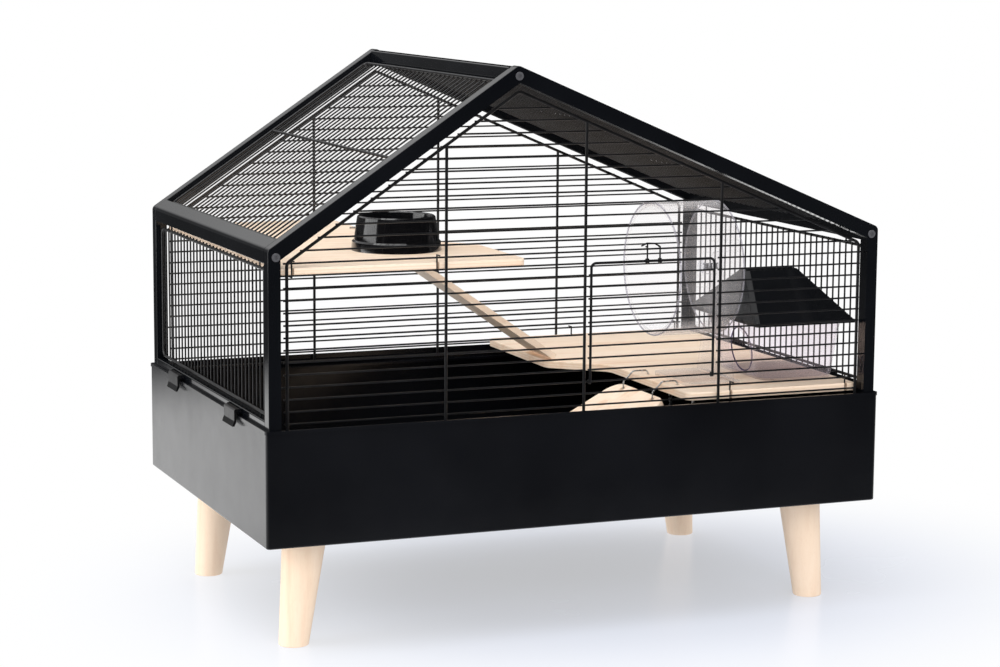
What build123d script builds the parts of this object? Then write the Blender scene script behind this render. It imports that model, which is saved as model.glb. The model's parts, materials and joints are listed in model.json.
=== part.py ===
"""Two-level hamster cage on four splayed wooden legs.

Axes: X runs along the long side, Y runs from the door side to the back, Z is up.
The origin is the centre of the footprint at floor level.  All lengths are millimetres.
"""
from build123d import *
from math import cos, hypot, radians, sin
import os

os.makedirs("parts", exist_ok=True)

# ---------------------------------------------------------------- base tray
TRAY_LENGTH = 800.0
TRAY_DEPTH = 530.0
TRAY_BOTTOM = 137.0
TRAY_TOP = 275.0
TRAY_WALL = 3.5
TRAY_CORNER = 5.0
TRAY_INNER_CORNER = 0.6
RIM_LIP = 1.0
RIM_HEIGHT = 4.0
LEDGE_TOP = 262.0
LEDGE_THICKNESS = 3.0
LEDGE_WIDTH = 20.0
LEDGE_CORNER = 8.0
TRAY_EDGE_EASE = 2.0

# ---------------------------------------------------------------- legs
LEG_FOOT_X = 346.5
LEG_FOOT_Y = 187.5
LEG_SPLAY_X = 15.0
LEG_SPLAY_Y = 2.0
LEG_OFFSET_X = 4.0
LEG_OFFSET_Y = 5.0
LEG_FOOT_RADIUS = 18.1
LEG_HEAD_RADIUS = 26.8
LEG_FOOT_EASE = 1.5
PLATE_SIZE = 66.0
PLATE_CORNER = 8.0
PLATE_THICKNESS = 3.0
LEG_TOP = TRAY_BOTTOM - PLATE_THICKNESS
STUD_RADIUS = 4.0
PLATE_SCREW_RADIUS = 1.8
PLATE_SCREW_SPACING = 50.0
SCREW_CLEARANCE = 0.1
SCREW_BITE = 2.6
SCREW_HEAD_RADIUS = 3.4
SCREW_HEAD_HEIGHT = 1.2
STUD_LENGTH = 26.0
STUD_END_ROOM = 2.0
STUD_FIT = 0.05
HEAD_X = LEG_FOOT_X - LEG_SPLAY_X
HEAD_Y = LEG_FOOT_Y - LEG_SPLAY_Y
HEAD_SPOTS = [
    (LEG_OFFSET_X + side_x * HEAD_X, LEG_OFFSET_Y + side_y * HEAD_Y)
    for side_x in (-1, 1)
    for side_y in (-1, 1)
]

# ---------------------------------------------------------------- cage frame
FRAME_X = 395.0
FRAME_Y = 260.5
POST_WIDTH = 15.0
FRAME_DEPTH = 17.0
RAFTER_HEIGHT = 18.0
EAVE_Z = 483.0
RIDGE_X = -90.0
RIDGE_Z = 688.0
FRAME_ROUND = 1.0
FRAME_CORNER = 7.0
INNER_X = FRAME_X - POST_WIDTH
INNER_Y = FRAME_Y - FRAME_DEPTH
BEAM_HEIGHT = 17.0
RAIL_TOP = 284.0
RAIL_WIDTH = 12.0
PLUG_RADIUS = 5.0
PLUG_PROUD = 1.2
PLUG_SHANK_RADIUS = 2.0
PLUG_SHANK_LENGTH = 34.0
PLUG_BORE_RADIUS = PLUG_SHANK_RADIUS + 0.05
PLUG_SOCKET_RADIUS = 2.4
PLUG_SOCKET_DEPTH = 1.0
PLUG_BEVEL = 0.4
PLUG_SPOTS = [(-385.5, 474.5), (RIDGE_X + 1, 675.5), (385.5, 474.5)]

# ---------------------------------------------------------------- wire panels
BAR_RADIUS = 1.1
UPRIGHT_RADIUS = 1.8
EDGE_RADIUS = 1.9
ROW_PITCH = 14.3
ROW_REFERENCE_Z = 466.0
WALL_PITCH = 15.2
PANEL_Y = 252.0
WELD_SINK = 0.5
EDGE_X = 371.0
EDGE_BEND = 8.0
PANEL_BOTTOM = 266.5
ROOF_EDGE_INSET = 27.0
ROW_OVERSHOOT = 3.4
SOCKET_RADIUS = BAR_RADIUS + 0.1
SOCKET_DEPTH = 5.0
SOCKET_ROWS = (-10, -1)
UPRIGHTS_X = (-177.0, 0.0, 180.0)
BACK_UPRIGHTS_X = (-174.0, 4.0, 182.0)

# ---------------------------------------------------------------- front door
DOOR_LEFT = 8.2
DOOR_RIGHT = 171.8
DOOR_WIRE_RADIUS = 1.6
DOOR_HINGE_ROW = -11
DOOR_TOP_ROW = -1
EYE_RADIUS = 3.0
EYE_WIDTH = 2.8
PIVOT_CLEARANCE = 0.05
LATCH_RADIUS = 1.0
LATCH_LEFT = 81.5
LATCH_RIGHT = 98.3

# ---------------------------------------------------------------- roof hatch
ROOF_WIRE_DEPTH = 9.0
HATCH_START = 168.0
HATCH_END = 341.0
HATCH_FRONT_Y = -104.0
HATCH_BACK_Y = 36.0

# ---------------------------------------------------------------- shelves
SHELF_TOP = 460.0
PLATFORM_TOP = 286.0
BOARD_THICKNESS = 10.0
BOARD_Y = 248.0
BOARD_SIDE_X = 376.0
SHELF_NOTCH_X = 185.0
PLATFORM_NOTCH_X = 201.0
NOTCH_OUTER_X = 362.0
NOTCH_WIDTH = 4.0
NOTCH_DEPTH = 5.0
RAMP_THICKNESS = 8.0
RAMP_FRONT_Y = 40.0
RAMP_BACK_Y = 120.0
RAMP_TOP_X = -151.0
RAMP_FOOT_X = 91.0
RAMP_FOOT_Z = 293.2

# ---------------------------------------------------------------- accessories
BOWL_X = -187.0
BOWL_Y = -110.0
BOWL_HEIGHT = 42.0
WHEEL_LEFT = 134.0
WHEEL_RIGHT = 220.0
WHEEL_Y = -157.0
WHEEL_Z = 429.0
WHEEL_RADIUS = 84.0
WHEEL_WALL = 2.2
AXLE_RADIUS = 4.0
HOUSE_ROOF_Z = 364.0
HOUSE_PEAK_Z = 417.0
CLIP_LENGTH = 44.0
CLIP_Y = 129.0

LEFT_RUN = RIDGE_X + FRAME_X
RIGHT_RUN = FRAME_X - RIDGE_X
ROOF_RISE = RIDGE_Z - EAVE_Z
LEFT_SLOPE = hypot(LEFT_RUN, ROOF_RISE)
RIGHT_SLOPE = hypot(RIGHT_RUN, ROOF_RISE)


def row_z(row):
    """Height of a horizontal wire, counted from the one just above the door."""
    return ROW_REFERENCE_Z + row * ROW_PITCH


def left_roof_z(x, inset):
    """Height of the left roof line moved inwards by the given distance."""
    return EAVE_Z + (x + FRAME_X) * ROOF_RISE / LEFT_RUN - inset * LEFT_SLOPE / LEFT_RUN


def right_roof_z(x, inset):
    """Height of the right roof line moved inwards by the given distance."""
    return EAVE_Z + (FRAME_X - x) * ROOF_RISE / RIGHT_RUN - inset * RIGHT_SLOPE / RIGHT_RUN


def left_roof_x(z, inset):
    """Position on the left roof line, moved inwards, at a given height."""
    return -FRAME_X + (z + inset * LEFT_SLOPE / LEFT_RUN - EAVE_Z) * LEFT_RUN / ROOF_RISE


def right_roof_x(z, inset):
    """Position on the right roof line, moved inwards, at a given height."""
    return FRAME_X - (z + inset * RIGHT_SLOPE / RIGHT_RUN - EAVE_Z) * RIGHT_RUN / ROOF_RISE


def peak(inset):
    """Meeting point of the two roof lines, both moved inwards."""
    gain = left_roof_z(0, inset) - right_roof_z(0, inset)
    x = -gain / (ROOF_RISE / LEFT_RUN + ROOF_RISE / RIGHT_RUN)
    return x, left_roof_z(x, inset)


def save(builder, label):
    """Name a finished piece and write its file."""
    builder.part.label = label
    export_step(builder.part, "parts/" + label + ".step")


def bars_x(points, length, radius):
    """Straight wires along X, centred on the given points."""
    with Locations(*points):
        Cylinder(radius, length, rotation=(0, 90, 0))


def bars_y(points, length, radius):
    """Straight wires along Y, centred on the given points."""
    with Locations(*points):
        Cylinder(radius, length, rotation=(90, 0, 0))


def bars_z(points, length, radius):
    """Straight wires along Z, centred on the given points."""
    with Locations(*points):
        Cylinder(radius, length)


# ================================================================ base tray
with BuildPart() as base_tray:
    with BuildSketch(Plane.XY.offset(TRAY_BOTTOM)):
        RectangleRounded(TRAY_LENGTH - 2 * RIM_LIP, TRAY_DEPTH - 2 * RIM_LIP, TRAY_CORNER)
    extrude(amount=TRAY_TOP - TRAY_BOTTOM)
    with BuildSketch(Plane.XY.offset(TRAY_TOP - RIM_HEIGHT)):
        RectangleRounded(TRAY_LENGTH, TRAY_DEPTH, TRAY_CORNER + RIM_LIP)
    extrude(amount=RIM_HEIGHT)
    inner_length = TRAY_LENGTH - 2 * RIM_LIP - 2 * TRAY_WALL
    inner_depth = TRAY_DEPTH - 2 * RIM_LIP - 2 * TRAY_WALL
    with BuildSketch(Plane.XY.offset(TRAY_BOTTOM + TRAY_WALL)):
        RectangleRounded(inner_length, inner_depth, TRAY_INNER_CORNER)
    extrude(amount=TRAY_TOP - TRAY_BOTTOM, mode=Mode.SUBTRACT)
    with BuildSketch(Plane.XY.offset(LEDGE_TOP - LEDGE_THICKNESS)):
        Rectangle(inner_length + 1, inner_depth + 1)
        ledge_gap = (inner_length - 2 * LEDGE_WIDTH, inner_depth - 2 * LEDGE_WIDTH)
        RectangleRounded(*ledge_gap, LEDGE_CORNER, mode=Mode.SUBTRACT)
    extrude(amount=LEDGE_THICKNESS)
    for spot_x, spot_y in HEAD_SPOTS:
        with Locations((spot_x, spot_y, TRAY_BOTTOM)):
            with GridLocations(PLATE_SCREW_SPACING, PLATE_SCREW_SPACING, 2, 2):
                Cylinder(PLATE_SCREW_RADIUS + SCREW_CLEARANCE, 2 * SCREW_BITE + 1.0, mode=Mode.SUBTRACT)
            Cylinder(STUD_RADIUS + 0.5, 2 * STUD_END_ROOM, mode=Mode.SUBTRACT)
    fillet(base_tray.edges().filter_by(GeomType.LINE).group_by(Axis.Z)[0], TRAY_EDGE_EASE)
save(base_tray, "base_tray")

# ================================================================ legs
for leg_name, side_x, side_y in (
    ("front_left", -1, -1),
    ("front_right", 1, -1),
    ("back_left", -1, 1),
    ("back_right", 1, 1),
):
    foot = (LEG_OFFSET_X + side_x * LEG_FOOT_X, LEG_OFFSET_Y + side_y * LEG_FOOT_Y, 0)
    head = (LEG_OFFSET_X + side_x * HEAD_X, LEG_OFFSET_Y + side_y * HEAD_Y, LEG_TOP)
    with BuildPart() as leg:
        with BuildSketch(Plane(origin=foot)):
            Circle(LEG_FOOT_RADIUS)
        with BuildSketch(Plane(origin=head)):
            Circle(LEG_HEAD_RADIUS)
        loft()
        fillet(leg.faces().sort_by(Axis.Z)[0].edges(), LEG_FOOT_EASE)
        with Locations(head):
            Cylinder(STUD_RADIUS + STUD_FIT, 2 * (STUD_LENGTH + STUD_END_ROOM), mode=Mode.SUBTRACT)
    save(leg, "leg_" + leg_name)

with BuildPart() as leg_plates:
    with BuildSketch(Plane.XY.offset(LEG_TOP)):
        with Locations(*HEAD_SPOTS):
            RectangleRounded(PLATE_SIZE, PLATE_SIZE, PLATE_CORNER)
            with GridLocations(PLATE_SCREW_SPACING, PLATE_SCREW_SPACING, 2, 2):
                Circle(PLATE_SCREW_RADIUS + 2 * SCREW_CLEARANCE, mode=Mode.SUBTRACT)
            Circle(STUD_RADIUS + 2 * STUD_FIT, mode=Mode.SUBTRACT)
    extrude(amount=PLATE_THICKNESS)
save(leg_plates, "leg_plates")

with BuildPart() as leg_studs:
    with BuildSketch(Plane.XY.offset(LEG_TOP - STUD_LENGTH)):
        with Locations(*HEAD_SPOTS):
            Circle(STUD_RADIUS)
    extrude(amount=STUD_LENGTH + PLATE_THICKNESS + STUD_END_ROOM / 2)
save(leg_studs, "leg_studs")

with BuildPart() as plate_screws:
    with BuildSketch(Plane.XY.offset(LEG_TOP - SCREW_HEAD_HEIGHT)):
        with Locations(*HEAD_SPOTS):
            with GridLocations(PLATE_SCREW_SPACING, PLATE_SCREW_SPACING, 2, 2):
                Circle(SCREW_HEAD_RADIUS)
    extrude(amount=SCREW_HEAD_HEIGHT)
    with BuildSketch(Plane.XY.offset(LEG_TOP - 0.2)):
        with Locations(*HEAD_SPOTS):
            with GridLocations(PLATE_SCREW_SPACING, PLATE_SCREW_SPACING, 2, 2):
                Circle(PLATE_SCREW_RADIUS)
    extrude(amount=PLATE_THICKNESS + SCREW_BITE + 0.2)
save(plate_screws, "plate_screws")

# ================================================================ cage frame
PEAK_INNER = peak(RAFTER_HEIGHT)
LEFT_ELBOW = (-INNER_X, left_roof_z(-INNER_X, RAFTER_HEIGHT))
RIGHT_ELBOW = (INNER_X, right_roof_z(INNER_X, RAFTER_HEIGHT))
gable_outline = [
    (-FRAME_X, LEDGE_TOP),
    (-FRAME_X, EAVE_Z),
    (RIDGE_X, RIDGE_Z),
    (FRAME_X, EAVE_Z),
    (FRAME_X, LEDGE_TOP),
]
frame_outlines = {
    "post_left": [(-FRAME_X, LEDGE_TOP), (-FRAME_X, EAVE_Z), LEFT_ELBOW, (-INNER_X, LEDGE_TOP)],
    "post_right": [(FRAME_X, LEDGE_TOP), (FRAME_X, EAVE_Z), RIGHT_ELBOW, (INNER_X, LEDGE_TOP)],
    "rafter_left": [(-FRAME_X, EAVE_Z), (RIDGE_X, RIDGE_Z), PEAK_INNER, LEFT_ELBOW],
    "rafter_right": [(FRAME_X, EAVE_Z), (RIDGE_X, RIDGE_Z), PEAK_INNER, RIGHT_ELBOW],
}

for gable, y_start in (("front", -FRAME_Y), ("back", INNER_Y)):
    for outline_name, corners in frame_outlines.items():
        kind, side = outline_name.split("_")
        with BuildPart() as frame_piece:
            with BuildSketch(Plane.XZ.offset(-y_start)):
                with BuildLine():
                    Polyline(*corners, close=True)
                make_face()
            extrude(amount=-FRAME_DEPTH)
            with BuildSketch(Plane.XZ.offset(-y_start)) as rounded_gable:
                with BuildLine():
                    Polyline(*gable_outline, close=True)
                make_face()
                fillet(rounded_gable.vertices().group_by(Axis.Z)[-1], FRAME_CORNER)
                fillet(rounded_gable.vertices().filter_by(lambda v: abs(v.Z - EAVE_Z) < 1), FRAME_CORNER)
            extrude(amount=-FRAME_DEPTH, mode=Mode.INTERSECT)
            long_edges = frame_piece.edges().filter_by(lambda edge: edge.length > 150)
            if kind == "post":
                outer_edges = long_edges.group_by(Axis.X)[0 if side == "left" else -1]
            else:
                outer_edges = long_edges.sort_by(Axis.Z)[-2:]
            fillet(outer_edges, FRAME_ROUND)
            for plug_x, plug_z in PLUG_SPOTS:
                with Locations((plug_x, y_start + FRAME_DEPTH / 2, plug_z)):
                    Cylinder(PLUG_BORE_RADIUS, 2 * FRAME_DEPTH, rotation=(90, 0, 0), mode=Mode.SUBTRACT)
            if kind == "post":
                sign = -1 if side == "left" else 1
                bar_y = -PANEL_Y if gable == "front" else PANEL_Y
                with Locations(*[(sign * INNER_X, bar_y, row_z(row)) for row in SOCKET_ROWS]):
                    Cylinder(SOCKET_RADIUS, 2 * SOCKET_DEPTH, rotation=(0, 90, 0), mode=Mode.SUBTRACT)
        save(frame_piece, kind + "_" + gable + "_" + side)

BEAM_BOTTOM = EAVE_Z - BEAM_HEIGHT
RIDGE_BEAM_LEFT = RIDGE_X - 6.5
RIDGE_BEAM_RIGHT = RIDGE_X + 8.5
RIDGE_BEAM_TOP = RIDGE_Z - 2.5
RIDGE_BEAM_BOTTOM = RIDGE_Z - 22.5
RIDGE_BEAM_ROUND = 2.0
beam_outlines = {
    "eave_beam_left": [
        (-FRAME_X, BEAM_BOTTOM),
        (-FRAME_X, EAVE_Z),
        (-INNER_X, left_roof_z(-INNER_X, 0)),
        (-INNER_X, BEAM_BOTTOM),
    ],
    "eave_beam_right": [
        (FRAME_X, BEAM_BOTTOM),
        (FRAME_X, EAVE_Z),
        (INNER_X, right_roof_z(INNER_X, 0)),
        (INNER_X, BEAM_BOTTOM),
    ],
    "ridge_beam": [
        (RIDGE_BEAM_LEFT, RIDGE_BEAM_BOTTOM),
        (RIDGE_BEAM_LEFT, RIDGE_BEAM_TOP),
        (RIDGE_BEAM_RIGHT, RIDGE_BEAM_TOP),
        (RIDGE_BEAM_RIGHT, RIDGE_BEAM_BOTTOM),
    ],
}

# ---------------------------------------------------------------- roof planes
LEFT_ROOF = Plane(
    origin=(-FRAME_X, 0, EAVE_Z),
    x_dir=(LEFT_RUN, 0, ROOF_RISE),
    z_dir=(-ROOF_RISE, 0, LEFT_RUN),
)
RIGHT_ROOF = Plane(
    origin=(RIDGE_X, 0, RIDGE_Z),
    x_dir=(RIGHT_RUN, 0, -ROOF_RISE),
    z_dir=(ROOF_RISE, 0, RIGHT_RUN),
)
WIRE_COUNT = 15
BAR_LEVEL = -ROOF_WIRE_DEPTH
EDGE_LEVEL = BAR_LEVEL + BAR_RADIUS + EDGE_RADIUS - WELD_SINK
LEFT_PANEL_START = 22.0
LEFT_PANEL_END = 343.0
LEFT_MID_WIRE = 186.0
RIGHT_PANEL_START = 22.0
RIGHT_PANEL_END = 506.0
RIGHT_TIE_WIRE = 425.0
ROOF_PANEL_Y = 236.0
TIE_ROWS = (-13, 13)
TIE_INSET = 10.0
WIRE_TAIL = 2.5
TIE_BITE = 4.5
TIE_START = 8.0
WALL_X = 385.5

for beam_name, corners in beam_outlines.items():
    with BuildPart() as beam:
        with BuildSketch(Plane.XZ.offset(-INNER_Y)):
            with BuildLine():
                Polyline(*corners, close=True)
            make_face()
        extrude(amount=2 * INNER_Y)
        long_edges = beam.edges().filter_by(Axis.Y)
        if beam_name == "ridge_beam":
            fillet(long_edges, RIDGE_BEAM_ROUND)
        else:
            outer_side = 0 if beam_name.endswith("left") else -1
            outer_edges = long_edges.group_by(Axis.X)[outer_side].sort_by(Axis.Z)
            fillet(outer_edges[-1], FRAME_CORNER)
            fillet(outer_edges[0], FRAME_ROUND)
        for plug_x, plug_z in PLUG_SPOTS:
            with Locations((plug_x, -INNER_Y, plug_z), (plug_x, INNER_Y, plug_z)):
                Cylinder(PLUG_BORE_RADIUS, 2 * PLUG_SHANK_LENGTH, rotation=(90, 0, 0), mode=Mode.SUBTRACT)
        if beam_name != "ridge_beam":
            sign = -1 if beam_name.endswith("left") else 1
            with Locations(*[(sign * WALL_X, row * WALL_PITCH, BEAM_BOTTOM) for row in TIE_ROWS]):
                Cylinder(SOCKET_RADIUS, 2 * SOCKET_DEPTH, mode=Mode.SUBTRACT)
            roof_plane = LEFT_ROOF if sign < 0 else RIGHT_ROOF
            tie_position = TIE_INSET if sign < 0 else RIGHT_SLOPE - TIE_INSET
            with Locations(roof_plane):
                with Locations(*[(tie_position, row * WALL_PITCH, BAR_LEVEL) for row in TIE_ROWS]):
                    Cylinder(SOCKET_RADIUS, 2 * TIE_BITE, rotation=(0, 90, 0), mode=Mode.SUBTRACT)
    save(beam, beam_name)

CLIP_PIVOT_X = FRAME_X + 2.8
CLIP_PIVOT_Z = 280.6
CLIP_PIN_RADIUS = 1.2
EAR_WIDTH = 3.0
EAR_GAP = 0.4
for side, sign in (("left", -1), ("right", 1)):
    with BuildPart() as bottom_rail:
        with Locations((sign * (FRAME_X - RAIL_WIDTH / 2), 0, (LEDGE_TOP + RAIL_TOP) / 2)):
            Box(RAIL_WIDTH, 2 * INNER_Y, RAIL_TOP - LEDGE_TOP)
        fillet(bottom_rail.edges().filter_by(Axis.Y).group_by(Axis.Z)[-1], 1.5)
        ear_offset = CLIP_LENGTH / 2 + EAR_GAP + EAR_WIDTH / 2
        ear_spots = [
            (sign * (FRAME_X + 2.0), centre + direction * ear_offset, CLIP_PIVOT_Z)
            for centre in (-CLIP_Y, CLIP_Y)
            for direction in (-1, 1)
        ]
        with Locations(*ear_spots):
            Box(6.0, EAR_WIDTH, 5.6)
        with Locations(*[(sign * CLIP_PIVOT_X, spot[1], CLIP_PIVOT_Z) for spot in ear_spots]):
            Cylinder(CLIP_PIN_RADIUS + PIVOT_CLEARANCE, EAR_WIDTH + 1, rotation=(90, 0, 0), mode=Mode.SUBTRACT)
        with Locations(*[(sign * WALL_X, row * WALL_PITCH, RAIL_TOP) for row in TIE_ROWS]):
            Cylinder(SOCKET_RADIUS, 2 * SOCKET_DEPTH, mode=Mode.SUBTRACT)
    save(bottom_rail, "bottom_rail_" + side)

for side, sign in (("left", -1), ("right", 1)):
    for place, centre in (("front", -CLIP_Y), ("back", CLIP_Y)):
        with BuildPart() as clip:
            with BuildSketch(Plane.XZ.offset(-centre - CLIP_LENGTH / 2)):
                with Locations((sign * CLIP_PIVOT_X, CLIP_PIVOT_Z)):
                    Circle(2.1)
                with BuildLine():
                    Polyline(
                        (sign * CLIP_PIVOT_X, CLIP_PIVOT_Z - 1.6),
                        (sign * 401.8, CLIP_PIVOT_Z - 1.6),
                        (sign * 401.8, 267.0),
                        (sign * 404.2, 262.0),
                        (sign * 406.6, 262.0),
                        (sign * 404.4, 268.5),
                        (sign * 404.4, CLIP_PIVOT_Z + 0.6),
                        (sign * 402.8, CLIP_PIVOT_Z + 2.1),
                        (sign * CLIP_PIVOT_X, CLIP_PIVOT_Z + 2.1),
                        close=True,
                    )
                make_face()
            extrude(amount=CLIP_LENGTH)
            with Locations((sign * CLIP_PIVOT_X, centre, CLIP_PIVOT_Z)):
                Cylinder(CLIP_PIN_RADIUS, CLIP_LENGTH + 2 * (EAR_GAP + EAR_WIDTH), rotation=(90, 0, 0))
        save(clip, "clip_" + place + "_" + side)

with BuildPart() as corner_screws:
    for direction in (-1, 1):
        with Locations(*[(x, direction * (FRAME_Y + PLUG_PROUD / 2), z) for x, z in PLUG_SPOTS]):
            Cylinder(PLUG_RADIUS, PLUG_PROUD, rotation=(90, 0, 0))
    head_face = FRAME_Y + PLUG_PROUD
    head_rims = corner_screws.edges().filter_by(lambda edge: abs(abs(edge.center().Y) - head_face) < 0.01)
    chamfer(head_rims, PLUG_BEVEL)
    for direction in (-1, 1):
        shank_y = direction * (FRAME_Y - PLUG_SHANK_LENGTH / 2 + 0.2)
        with Locations(*[(x, shank_y, z) for x, z in PLUG_SPOTS]):
            Cylinder(PLUG_SHANK_RADIUS, PLUG_SHANK_LENGTH + 0.4, rotation=(90, 0, 0))
        with BuildSketch(Plane.XZ.offset(-direction * (FRAME_Y + PLUG_PROUD))):
            with Locations(*PLUG_SPOTS):
                RegularPolygon(PLUG_SOCKET_RADIUS, 6)
        extrude(amount=direction * PLUG_SOCKET_DEPTH, mode=Mode.SUBTRACT)
save(corner_screws, "corner_screws")

# ================================================================ gable panels
EDGE_PEAK = peak(ROOF_EDGE_INSET)
EDGE_LEFT = (-EDGE_X, left_roof_z(-EDGE_X, ROOF_EDGE_INSET))
EDGE_RIGHT = (EDGE_X, right_roof_z(EDGE_X, ROOF_EDGE_INSET))
EDGE_OFFSET = BAR_RADIUS + EDGE_RADIUS - WELD_SINK
ROWS = range(-13, 13)


def row_span(z):
    """Ends of a horizontal wire at the given height."""
    start = max(-EDGE_X, left_roof_x(z, ROOF_EDGE_INSET))
    end = min(EDGE_X, right_roof_x(z, ROOF_EDGE_INSET))
    return start - ROW_OVERSHOOT, end + ROW_OVERSHOOT


for gable, direction in (("front", -1), ("back", 1)):
    edge_y = direction * (PANEL_Y + EDGE_OFFSET)
    bar_y = direction * PANEL_Y
    with BuildPart() as gable_panel:
        with BuildLine(Plane.XZ.offset(-edge_y)) as edge_line:
            Polyline(
                (-EDGE_X, PANEL_BOTTOM),
                EDGE_LEFT,
                EDGE_PEAK,
                EDGE_RIGHT,
                (EDGE_X, PANEL_BOTTOM),
                close=True,
            )
            fillet(edge_line.vertices(), EDGE_BEND)
        start_plane = Plane(origin=edge_line.wire() @ 0, z_dir=edge_line.wire() % 0)
        with BuildSketch(start_plane):
            Circle(EDGE_RADIUS)
        sweep(path=edge_line.wire())
        for row in ROWS:
            z = row_z(row)
            start, end = row_span(z)
            if row in SOCKET_ROWS:
                start = -INNER_X - SOCKET_DEPTH + 0.5
                end = INNER_X + SOCKET_DEPTH - 0.5
            if gable == "front" and DOOR_HINGE_ROW < row <= DOOR_TOP_ROW:
                left_end = UPRIGHTS_X[1] + WIRE_TAIL
                right_start = UPRIGHTS_X[2] - WIRE_TAIL
                bars_x([((start + left_end) / 2, bar_y, z)], left_end - start, BAR_RADIUS)
                bars_x([((end + right_start) / 2, bar_y, z)], end - right_start, BAR_RADIUS)
            else:
                bars_x([((start + end) / 2, bar_y, z)], end - start, BAR_RADIUS)
        for x in UPRIGHTS_X if gable == "front" else BACK_UPRIGHTS_X:
            top = min(left_roof_z(x, ROOF_EDGE_INSET), right_roof_z(x, ROOF_EDGE_INSET))
            bars_z([(x, edge_y, (PANEL_BOTTOM + top) / 2)], top - PANEL_BOTTOM, UPRIGHT_RADIUS)
    save(gable_panel, gable + "_panel")

# ================================================================ side walls
WALL_EDGE_Y = 236.0
WALL_BOTTOM = 289.0
WALL_TOP = 457.0
for side, sign in (("left", -1), ("right", 1)):
    with BuildPart() as wall_panel:
        edge_plane = Plane.YZ.offset(sign * (WALL_X + EDGE_OFFSET))
        with BuildLine(edge_plane) as edge_line:
            Polyline(
                (-WALL_EDGE_Y, WALL_BOTTOM),
                (-WALL_EDGE_Y, WALL_TOP),
                (WALL_EDGE_Y, WALL_TOP),
                (WALL_EDGE_Y, WALL_BOTTOM),
                close=True,
            )
            fillet(edge_line.vertices(), EDGE_BEND)
        with BuildSketch(Plane(origin=edge_line.wire() @ 0, z_dir=edge_line.wire() % 0)):
            Circle(EDGE_RADIUS)
        sweep(path=edge_line.wire())
        wall_rows = [row for row in range(-WIRE_COUNT, WIRE_COUNT + 1) if row not in TIE_ROWS]
        wall_middle = (WALL_BOTTOM + WALL_TOP) / 2
        wall_length = WALL_TOP - WALL_BOTTOM + 2 * WIRE_TAIL
        bars_z([(sign * WALL_X, row * WALL_PITCH, wall_middle) for row in wall_rows], wall_length, BAR_RADIUS)
        tie_length = EAVE_Z - BEAM_HEIGHT - RAIL_TOP + 2 * SOCKET_DEPTH - 1.0
        tie_middle = (EAVE_Z - BEAM_HEIGHT + RAIL_TOP) / 2
        bars_z([(sign * WALL_X, row * WALL_PITCH, tie_middle) for row in TIE_ROWS], tie_length, BAR_RADIUS)
    save(wall_panel, "wall_panel_" + side)

# ================================================================ roof panels
with BuildPart(LEFT_ROOF) as roof_panel_left:
    roof_middle = (LEFT_PANEL_START + LEFT_PANEL_END) / 2
    with BuildLine(LEFT_ROOF.offset(EDGE_LEVEL)) as edge_line:
        Polyline(
            (LEFT_PANEL_START, -ROOF_PANEL_Y),
            (LEFT_PANEL_END, -ROOF_PANEL_Y),
            (LEFT_PANEL_END, ROOF_PANEL_Y),
            (LEFT_PANEL_START, ROOF_PANEL_Y),
            close=True,
        )
        fillet(edge_line.vertices(), EDGE_BEND)
    with BuildSketch(Plane(origin=edge_line.wire() @ 0, z_dir=edge_line.wire() % 0)):
        Circle(EDGE_RADIUS)
    sweep(path=edge_line.wire())
    roof_rows = [row for row in range(-WIRE_COUNT, WIRE_COUNT + 1) if row not in TIE_ROWS]
    roof_length = LEFT_PANEL_END - LEFT_PANEL_START + 2 * WIRE_TAIL
    bars_x([(roof_middle, row * WALL_PITCH, BAR_LEVEL) for row in roof_rows], roof_length, BAR_RADIUS)
    tie_start = TIE_START
    tie_end = LEFT_PANEL_END + WIRE_TAIL
    tie_middle = (tie_start + tie_end) / 2
    bars_x([(tie_middle, row * WALL_PITCH, BAR_LEVEL) for row in TIE_ROWS], tie_end - tie_start, BAR_RADIUS)
    bars_y([(LEFT_MID_WIRE, 0, EDGE_LEVEL)], 2 * ROOF_PANEL_Y, UPRIGHT_RADIUS)
save(roof_panel_left, "roof_panel_left")

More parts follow.
